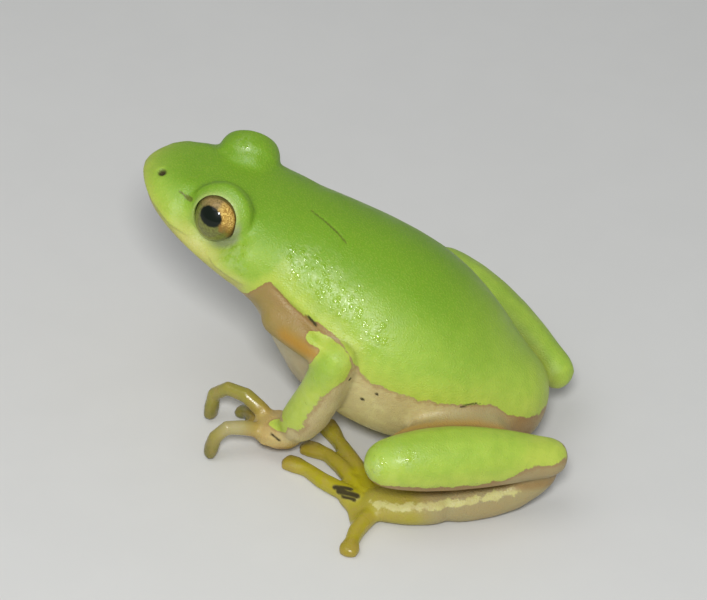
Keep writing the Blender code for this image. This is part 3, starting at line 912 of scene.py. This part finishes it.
def skin_material(look):
    """Green and bare skin with a ragged border, fine granules, and small drops where it is wet."""
    material, nodes, shader = new_material("Frog skin")
    mask, span, times = nodes.mask, nodes.span, nodes.times
    where = nodes.place()
    inside = nodes.math("ADD", mask("green"), nodes.ripple(where, 900.0, 1.5, 4.0, 0.6))
    is_green = span(inside, -0.06, 0.10)
    granules = nodes.group("Granules", granule_group, Vector=where, Granules_per_metre=6000.0)
    colour = nodes.layers(
        bare_colours(nodes, look, where, inside),
        (is_green, green_colours(nodes, look, where, inside, is_green)),
        # Partly painted shade: the lower jaw is browner under the overhanging upper lip.
        (times(mask("jaw"), 0.7), look.jaw_brown_and_shade),
        (times(granules["Tops"], is_green, 0.14), look.edge_yellow),
        (times(mask("rim"), 0.6), look.lid_rim),
        (mask("membrane"), look.membrane),
        (times(mask("streak"), 0.75), look.streak_brown),
        # Painted shade in the nostrils and the creases, laid on with the real dark marks.
        (nodes.most(mask("dark"), times(mask("fold"), 0.35)), look.marks_and_shade_brown),
    )
    cover = times(span(mask("wet"), 0.2, 1.0, 0.0, 1.7), is_green)
    beads = {"Drops_per_metre": 2350.0, "Size": 0.58, "Cover": cover}
    drops = nodes.group("Drops", drop_group, Vector=where, **beads)
    smooth_parts = nodes.most(mask("digit"), mask("chest"), mask("membrane"))
    height = times(granules["Height"], span(smooth_parts, 0.0, 1.0, 1.0, 0.35))
    grain = nodes.bump(Strength=0.8, Distance=look.granule_height, Height=height)
    rough = times(
        span(nodes.noise(where, 500.0, 3.0), 0.3, 0.7, 0.40, 0.54),
        span(mask("digit"), 0.0, 1.0, 1.0, 0.55),
        span(mask("wet"), 0.0, 1.0, 1.0, 0.65),
    )
    rough = span(nodes.most(drops["Mask"], mask("membrane")), 0.0, 1.0, rough, 0.13)
    nodes.fill(
        shader,
        Base_Color=colour,
        Normal=nodes.bump(Distance=look.drop_height, Height=drops["Height"], Normal=grain),
        Roughness=nodes.most(rough, mask("dark")),
        Specular_IOR_Level=0.5,
        Subsurface_Weight=0.18,
        Subsurface_Radius=(1.0, 0.7, 0.25),
        Subsurface_Scale=0.0006,
    )
    return material


def eye_material(look):
    """Gold behind an oval pupil, bronze above it and olive below, under a clear wet front."""
    material, nodes, shader = new_material("Frog eye")
    span, noise, times = nodes.span, nodes.noise, nodes.times
    iris = nodes.mask("iris", "Vector")
    ahead, up, along = nodes.parts(iris)
    wavy = nodes.ripple(iris, 2.6, 1.0, 3.0)

    def turned_to(way_ahead, way_up):
        """How far one way a point lies from the pupil."""
        return nodes.math("MULTIPLY_ADD", ahead, way_ahead, times(up, way_up))

    def oval(half_length, half_height):
        """Distance from the pupil's middle, measured in wavy ovals of this size."""
        one, other = nodes.math("DIVIDE", ahead, half_length), nodes.math("DIVIDE", up, half_height)
        squares = nodes.math("MULTIPLY_ADD", one, one, times(other, other))
        return nodes.math("MULTIPLY_ADD", wavy, 0.16, nodes.math("SQRT", squares))

    from_pupil = nodes.most(oval(1.0, 1.0), 0.2)

    def sector(way_ahead, way_up):
        """Close to 1 where the iris lies straight this way from the pupil."""
        share = nodes.math("DIVIDE", turned_to(way_ahead, way_up), from_pupil)
        return nodes.math("MULTIPLY_ADD", wavy, 0.5, share)

    flecks = times(
        span(noise(iris, 7.0, 4.0, 0.75), 0.41, 0.58, 0.1, 1.0),
        span(noise(iris, 2.2), 0.36, 0.50, 0.6, 1.0),
        span(along, 0.94, 1.20, 0.45, 1.0),
    )
    gold = nodes.mix(flecks, look.iris_orange, look.iris_gold)
    edge = times(span(along, 1.00, 0.93), span(turned_to(-0.5, 0.8), -0.4, 1.2, 0.0, 0.8))
    colour = nodes.layers(
        look.iris_olive,
        (span(nodes.math("ADD", up, wavy), -0.3, 0.9), look.iris_bronze),
        (span(noise(iris, 5.0, 5.0, 0.75), 0.60, 0.38, 0.0, 0.6), look.iris_rim),
        (span(sector(-1.0, 0.07), 0.78, 0.97, 0.0, 0.75), look.iris_orange),
        (span(sector(-0.80, 0.60), 0.54, 0.94), gold),
        (span(oval(0.93, 0.74), 1.12, 0.90), look.pupil),
        (edge, look.iris_rim),
    )
    nodes.fill(
        shader,
        Base_Color=colour,
        Roughness=0.4,
        Coat_Weight=1.0,
        Coat_Roughness=0.03,
        Coat_IOR=1.28,
        Specular_IOR_Level=0.1,
    )
    return material


def floor_material(look):
    material, nodes, shader = new_material("Studio floor")
    shade = [part * 0.97 for part in look.floor_colour]
    colour = nodes.mottled(nodes.place(), look.floor_colour, shade, 60.0, 0.5)
    nodes.fill(shader, Base_Color=colour, Roughness=0.75)
    return material


# ---- settings


def tint(name, description, default):
    return FloatVectorProperty(
        name=name, description=description, default=default, min=0.0, max=1.0, subtype="COLOR"
    )


def number(name, description, default, **more):
    return FloatProperty(name=name, description=description, default=default, **more)


def measure(*given, **limits):
    return number(*given, precision=6, unit="LENGTH", **limits)


def opened(name, degrees):
    return number(name, "Half the lids' opening angle, in degrees", degrees, min=40.0, max=80.0)


def angled(name, description, degrees):
    return number(name, description, math.radians(degrees), unit="ROTATION")


class FrogSkinLook(bpy.types.PropertyGroup):
    """Sizes and colours of the skin."""

    grain: measure("Mesh grain", "Width of one face of the skin", 0.00013, min=0.0001, max=0.001)
    swell: measure("Swell", "How far the solids swell before they grow together", 0.0002, max=0.001)
    granule_height: measure("Granule height", "Height of the skin's granules", 0.00004, min=0.0)
    drop_height: measure("Drop height", "Height of the drops on the skin", 0.00007, min=0.0)
    lid_bulge: measure("Lid bulge", "How far the lids stand out over the eyes", 0.00045, min=0.0)
    left_opening: opened("Left lids", 58.0)
    right_opening: opened("Right lids", 44.0)
    # Darker than the flank as painted shade, where the back faces away from the light.
    back_green_and_shade: tint("Back", "Green along the back", (0.19, 0.385, 0.012))
    flank_green: tint("Flank", "Yellower green of the flanks and limbs", (0.39, 0.575, 0.06))
    deep_green: tint("Deep green", "Darker patches in the green", (0.16, 0.34, 0.012))
    edge_yellow: tint("Green's edge", "Yellow near the edge of the green", (0.56, 0.64, 0.09))
    lip_yellow: tint("Lip", "Pale yellow of the lip", (0.57, 0.64, 0.14))
    # Partly the jaw's own colour, partly painted shade under the upper lip.
    jaw_brown_and_shade: tint("Lower jaw", "Pinkish brown of the lower jaw's edge", (0.48, 0.40, 0.13))
    lid_rim: tint("Lid rim", "Pale thin rim of the lids", (0.50, 0.60, 0.20))
    membrane: tint("Membrane", "Greyish skin at the eye's rear corner", (0.31, 0.36, 0.16))
    belly_cream: tint("Belly", "Cream of the belly", (0.74, 0.67, 0.30))
    # Also painted onto the bare skin as a pale sheen where it is wet.
    chest_white_and_sheen: tint("Chest", "Pinkish white of the chest", (0.58, 0.52, 0.33))
    arm_peach: tint("Upper arm", "Peach of throat and upper arm", (0.31, 0.23, 0.045))
    finger_olive: tint("Fingers", "Olive yellow of the fingers", (0.31, 0.285, 0.045))
    toe_yellow: tint("Toes", "Orange yellow of the toes", (0.42, 0.375, 0.008))
    crook_orange: tint("Orange flush", "Orange of arm and thigh", (0.47, 0.24, 0.015))
    blush_pink: tint("Blush", "Pinkish patches in the bare skin", (0.43, 0.285, 0.12))
    shin_pink: tint("Lower leg", "Pinkish beige of heel and lower leg", (0.39, 0.33, 0.15))
    cream_patch: tint("Cream patches", "Cream patches along the lower leg", (0.62, 0.60, 0.22))
    # Brown skin, and painted shade where the tarsus tucks under the shank.
    band_brown_and_shade: tint("Brown band", "Brown band under the shank", (0.30, 0.18, 0.05))
    # Also painted shade on throat and upper arm under the green's raised edge.
    edge_brown_and_shade: tint("Brown edge", "Thin brown line under the green", (0.30, 0.15, 0.045))
    # Painted sheen: a pale green laid into the colour where the skin glistens.
    painted_wet_sheen: tint("Wet sheen", "Pale green where the skin glistens", (0.60, 0.72, 0.36))
    tip_olive: tint("Tips", "Dark olive of the ends of the fingers", (0.12, 0.13, 0.015))
    streak_brown: tint("Streaks", "Brown of the fine streaks", (0.11, 0.10, 0.012))
    # Also the painted shade of the nostrils and the creases.
    marks_and_shade_brown: tint("Marks", "Dark brown of the small marks", (0.05, 0.04, 0.01))


class FrogEyeLook(bpy.types.PropertyGroup):
    """Colours of the eyes."""

    iris_gold: tint("Gold", "Bright flecks behind the pupil", (0.80, 0.57, 0.15))
    iris_orange: tint("Orange", "Orange brown between the gold flecks", (0.30, 0.14, 0.02))
    iris_bronze: tint("Bronze", "Bronze of the iris above the pupil", (0.38, 0.26, 0.10))
    iris_olive: tint("Olive", "Olive of the iris below the pupil", (0.20, 0.22, 0.05))
    iris_rim: tint("Iris rim", "Dark rim and streaks of the iris", (0.085, 0.075, 0.018))
    pupil: tint("Pupil", "Black of the pupil", (0.003, 0.007, 0.003))


class FrogStageLook(bpy.types.PropertyGroup):
    """Camera, lights and floor."""

    azimuth: angled("Azimuth", "Where the camera stands round the frog", 101.8)
    elevation: angled("Elevation", "How far the camera stands above the horizon", 37.6)
    roll: angled("Roll", "The camera's turn about its own line", 6.0)
    distance: measure("Distance", "From the aim point to the camera", 0.30, min=0.05)
    lens: number("Lens", "Focal length", 202.6, min=20.0, unit="CAMERA")
    aim_side: measure("Aim aside", "Aim point from the middle, along X", 0.001251)
    aim_back: measure("Aim back", "Aim point from the middle, along Y", -0.000847)
    aim_up: measure("Aim height", "Aim point above the floor", 0.01109)
    key_power: number("Main light", "Power in watts", 0.57, min=0.0)
    fill_power: number("Fill light", "Power in watts", 0.22, min=0.0)
    sky: number("Surrounding light", "Strength of the even light", 0.30)
    floor_colour: tint("Floor", "Pale floor", (0.72, 0.72, 0.70))


# ---- operators

# How far the floor reaches each way, in metres, and the colour of the light from all round.
FLOOR_REACH = 6.0
SKY_COLOUR = (0.95, 0.97, 1.0)


def smooth_piece(name, points, faces, material):
    piece = mesh_object(name, points / MM, faces)
    piece.data.shade_smooth()
    piece.data.materials.append(material)
    return piece


def store(mesh, name, values):
    kind, field = ("FLOAT", "value") if values.ndim == 1 else ("FLOAT_VECTOR", "vector")
    layer = mesh.attributes.new(name, kind, "POINT")
    layer.data.foreach_set(field, values.astype(np.float32).ravel())


class FROG_OT_skin(bpy.types.Operator):
    """Grow the one skin over all the flesh solids, model its forms and mark out its pigments,
    painted shade and painted sheen
    """

    bl_idname = "frog.skin"
    bl_label = "Skin"
    bl_options = {"REGISTER", "UNDO"}

    def execute(self, context):
        look = context.scene.frog_skin
        skin, lie = skin_surface(look)
        piece = smooth_piece("skin", skin.points, skin.quads.tolist(), skin_material(look))
        for name, values in zones(skin, lie, look).items():
            store(piece.data, name, values)
        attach(piece, "root")
        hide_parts(*FLESH)
        self.report({"INFO"}, f"skin of {len(skin.quads)} faces")
        return {"FINISHED"}


class FROG_OT_eyes(bpy.types.Operator):
    """Make both eyes, each a ball with a raised clear front, a golden iris and a black pupil"""

    bl_idname = "frog.eyes"
    bl_label = "Eyes"
    bl_options = {"REGISTER", "UNDO"}

    rings: IntProperty(name="Rings", description="Rings of faces to the back", default=72, min=8)
    around: IntProperty(name="Around", description="Faces round each ring", default=96, min=8)

    def execute(self, context):
        material = eye_material(context.scene.frog_eye)
        for side in OUT:
            points, faces, iris = eyeball(side, self.rings, self.around)
            piece = smooth_piece(f"eye_{side}_ball", points, faces, material)
            store(piece.data, "iris", iris)
            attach(piece, "root")
            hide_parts(f"eye_{side}")
        return {"FINISHED"}


def eyeball(side, rings, around):
    """Points and faces of an eyeball with a bulging front, and where they lie on the iris."""
    axis, ahead, up = facing(side, LID_AIM)
    beside = np.cross(axis, ahead)
    angle = np.pi * np.arange(1, rings) / rings
    spin = 2 * np.pi * np.arange(around) / around
    away = np.outer(np.cos(spin), ahead) + np.outer(np.sin(spin), beside)
    reach = 1.0 + FRONT_BULGE * bell(angle, FRONT_WIDTH)
    rows = [(c * axis + s * away) * r for c, s, r in zip(np.cos(angle), np.sin(angle), reach)]
    points = np.concatenate([[axis * (1.0 + FRONT_BULGE)], *rows, [-axis]]) * eye_radius(side)
    drop = np.maximum(-(points @ up), 0.0) * step(-0.4, 0.6, points @ axis)
    points = points - np.outer(0.20 * drop, up)

    faces = []
    last = len(points) - 1
    for here in range(around):
        after = (here + 1) % around
        faces.append((0, 1 + here, 1 + after))
        faces.append((last - around + here, last, last - around + after))
        for ring in range(1, last - around, around):
            below = ring + around
            faces.append((ring + here, below + here, below + after, ring + after))

    gaze, nose, brow = facing(side, GAZE)
    from_pupil = points - gaze * eye_radius(side)
    iris = np.stack([from_pupil @ nose, from_pupil @ brow, points @ axis], axis=1)
    return points + middle(f"eye_{side}"), faces, iris


def area_light(name, size, power, location, target):
    light = bpy.data.lights.new(name, "AREA")
    light.shape = "DISK"
    light.size = size
    light.energy = power
    lamp = add(name, light)
    lamp.location = location
    lamp.rotation_euler = (target - location).to_track_quat("-Z", "Y").to_euler()


class FROG_OT_stage(bpy.types.Operator):
    """Set the camera, the pale floor and the soft lights"""

    bl_idname = "frog.stage"
    bl_label = "Stage"
    bl_options = {"REGISTER", "UNDO"}

    def execute(self, context):
        look = context.scene.frog_stage
        low, high = CAD_BOX
        aim = Vector(((low[0] + high[0]) / 2, (low[1] + high[1]) / 2, low[2]))
        aim += Vector((look.aim_side, look.aim_back, look.aim_up))
        tilt = math.pi / 2 - look.elevation
        turn = Matrix.Rotation(look.azimuth, 3, "Z") @ Matrix.Rotation(tilt, 3, "X")
        turn @= Matrix.Rotation(look.roll, 3, "Z")
        right, up, back = turn.col
        data = bpy.data.cameras.new("Camera")
        data.lens = look.lens
        data.sensor_width = 36.0
        data.clip_start = 0.01
        data.clip_end = 20.0
        camera = add("Camera", data)
        camera.matrix_world = Matrix.Translation(aim + back * look.distance) @ turn.to_4x4()
        context.scene.camera = camera
        context.scene.view_settings.view_transform = "Standard"

        ends = (-FLOOR_REACH, FLOOR_REACH)
        corners = np.array([(x, y, low[2]) for y in ends for x in ends])
        floor = mesh_object("floor", corners, [(0, 1, 3, 2)])
        floor.data.materials.append(floor_material(look))

        main = aim + back * 0.30 + up * 0.03
        fill = aim - right * 0.12 + back * 0.10 + Vector((0.0, 0.0, 0.28))
        area_light("Main light", 0.05, look.key_power, main, aim)
        area_light("Fill light", 0.25, look.fill_power, fill, aim)
        world = bpy.data.worlds.new("Studio")
        world.use_nodes = True
        even_light = world.node_tree.nodes["Background"]
        Nodes(world.node_tree).fill(even_light, Color=SKY_COLOUR, Strength=look.sky)
        context.scene.world = world
        return {"FINISHED"}


class FROG_PT_panel(bpy.types.Panel):
    """Lists the makers of the frog's pieces and their settings"""

    bl_idname = "FROG_PT_panel"
    bl_label = "Tree frog"
    bl_space_type = "VIEW_3D"
    bl_region_type = "UI"
    bl_category = "Tree frog"

    def draw(self, context):
        scene = context.scene
        for operator, look in (
            (FROG_OT_skin, scene.frog_skin),
            (FROG_OT_eyes, scene.frog_eye),
            (FROG_OT_stage, scene.frog_stage),
        ):
            box = self.layout.box()
            box.operator(operator.bl_idname)
            for name in look.bl_rna.properties.keys():
                if name not in {"rna_type", "name"}:
                    box.prop(look, name)


CLASSES = (
    FrogSkinLook,
    FrogEyeLook,
    FrogStageLook,
    FROG_OT_skin,
    FROG_OT_eyes,
    FROG_OT_stage,
    FROG_PT_panel,
)


def register():
    for cls in CLASSES:
        bpy.utils.register_class(cls)
    bpy.types.Scene.frog_skin = PointerProperty(type=FrogSkinLook)
    bpy.types.Scene.frog_eye = PointerProperty(type=FrogEyeLook)
    bpy.types.Scene.frog_stage = PointerProperty(type=FrogStageLook)


def unregister():
    del bpy.types.Scene.frog_stage
    del bpy.types.Scene.frog_eye
    del bpy.types.Scene.frog_skin
    for cls in reversed(CLASSES):
        bpy.utils.unregister_class(cls)


def main():
    register()
    bpy.ops.frog.stage()
    bpy.ops.frog.skin()
    bpy.ops.frog.eyes()
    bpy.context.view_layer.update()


if __name__ == "__main__":
    main()
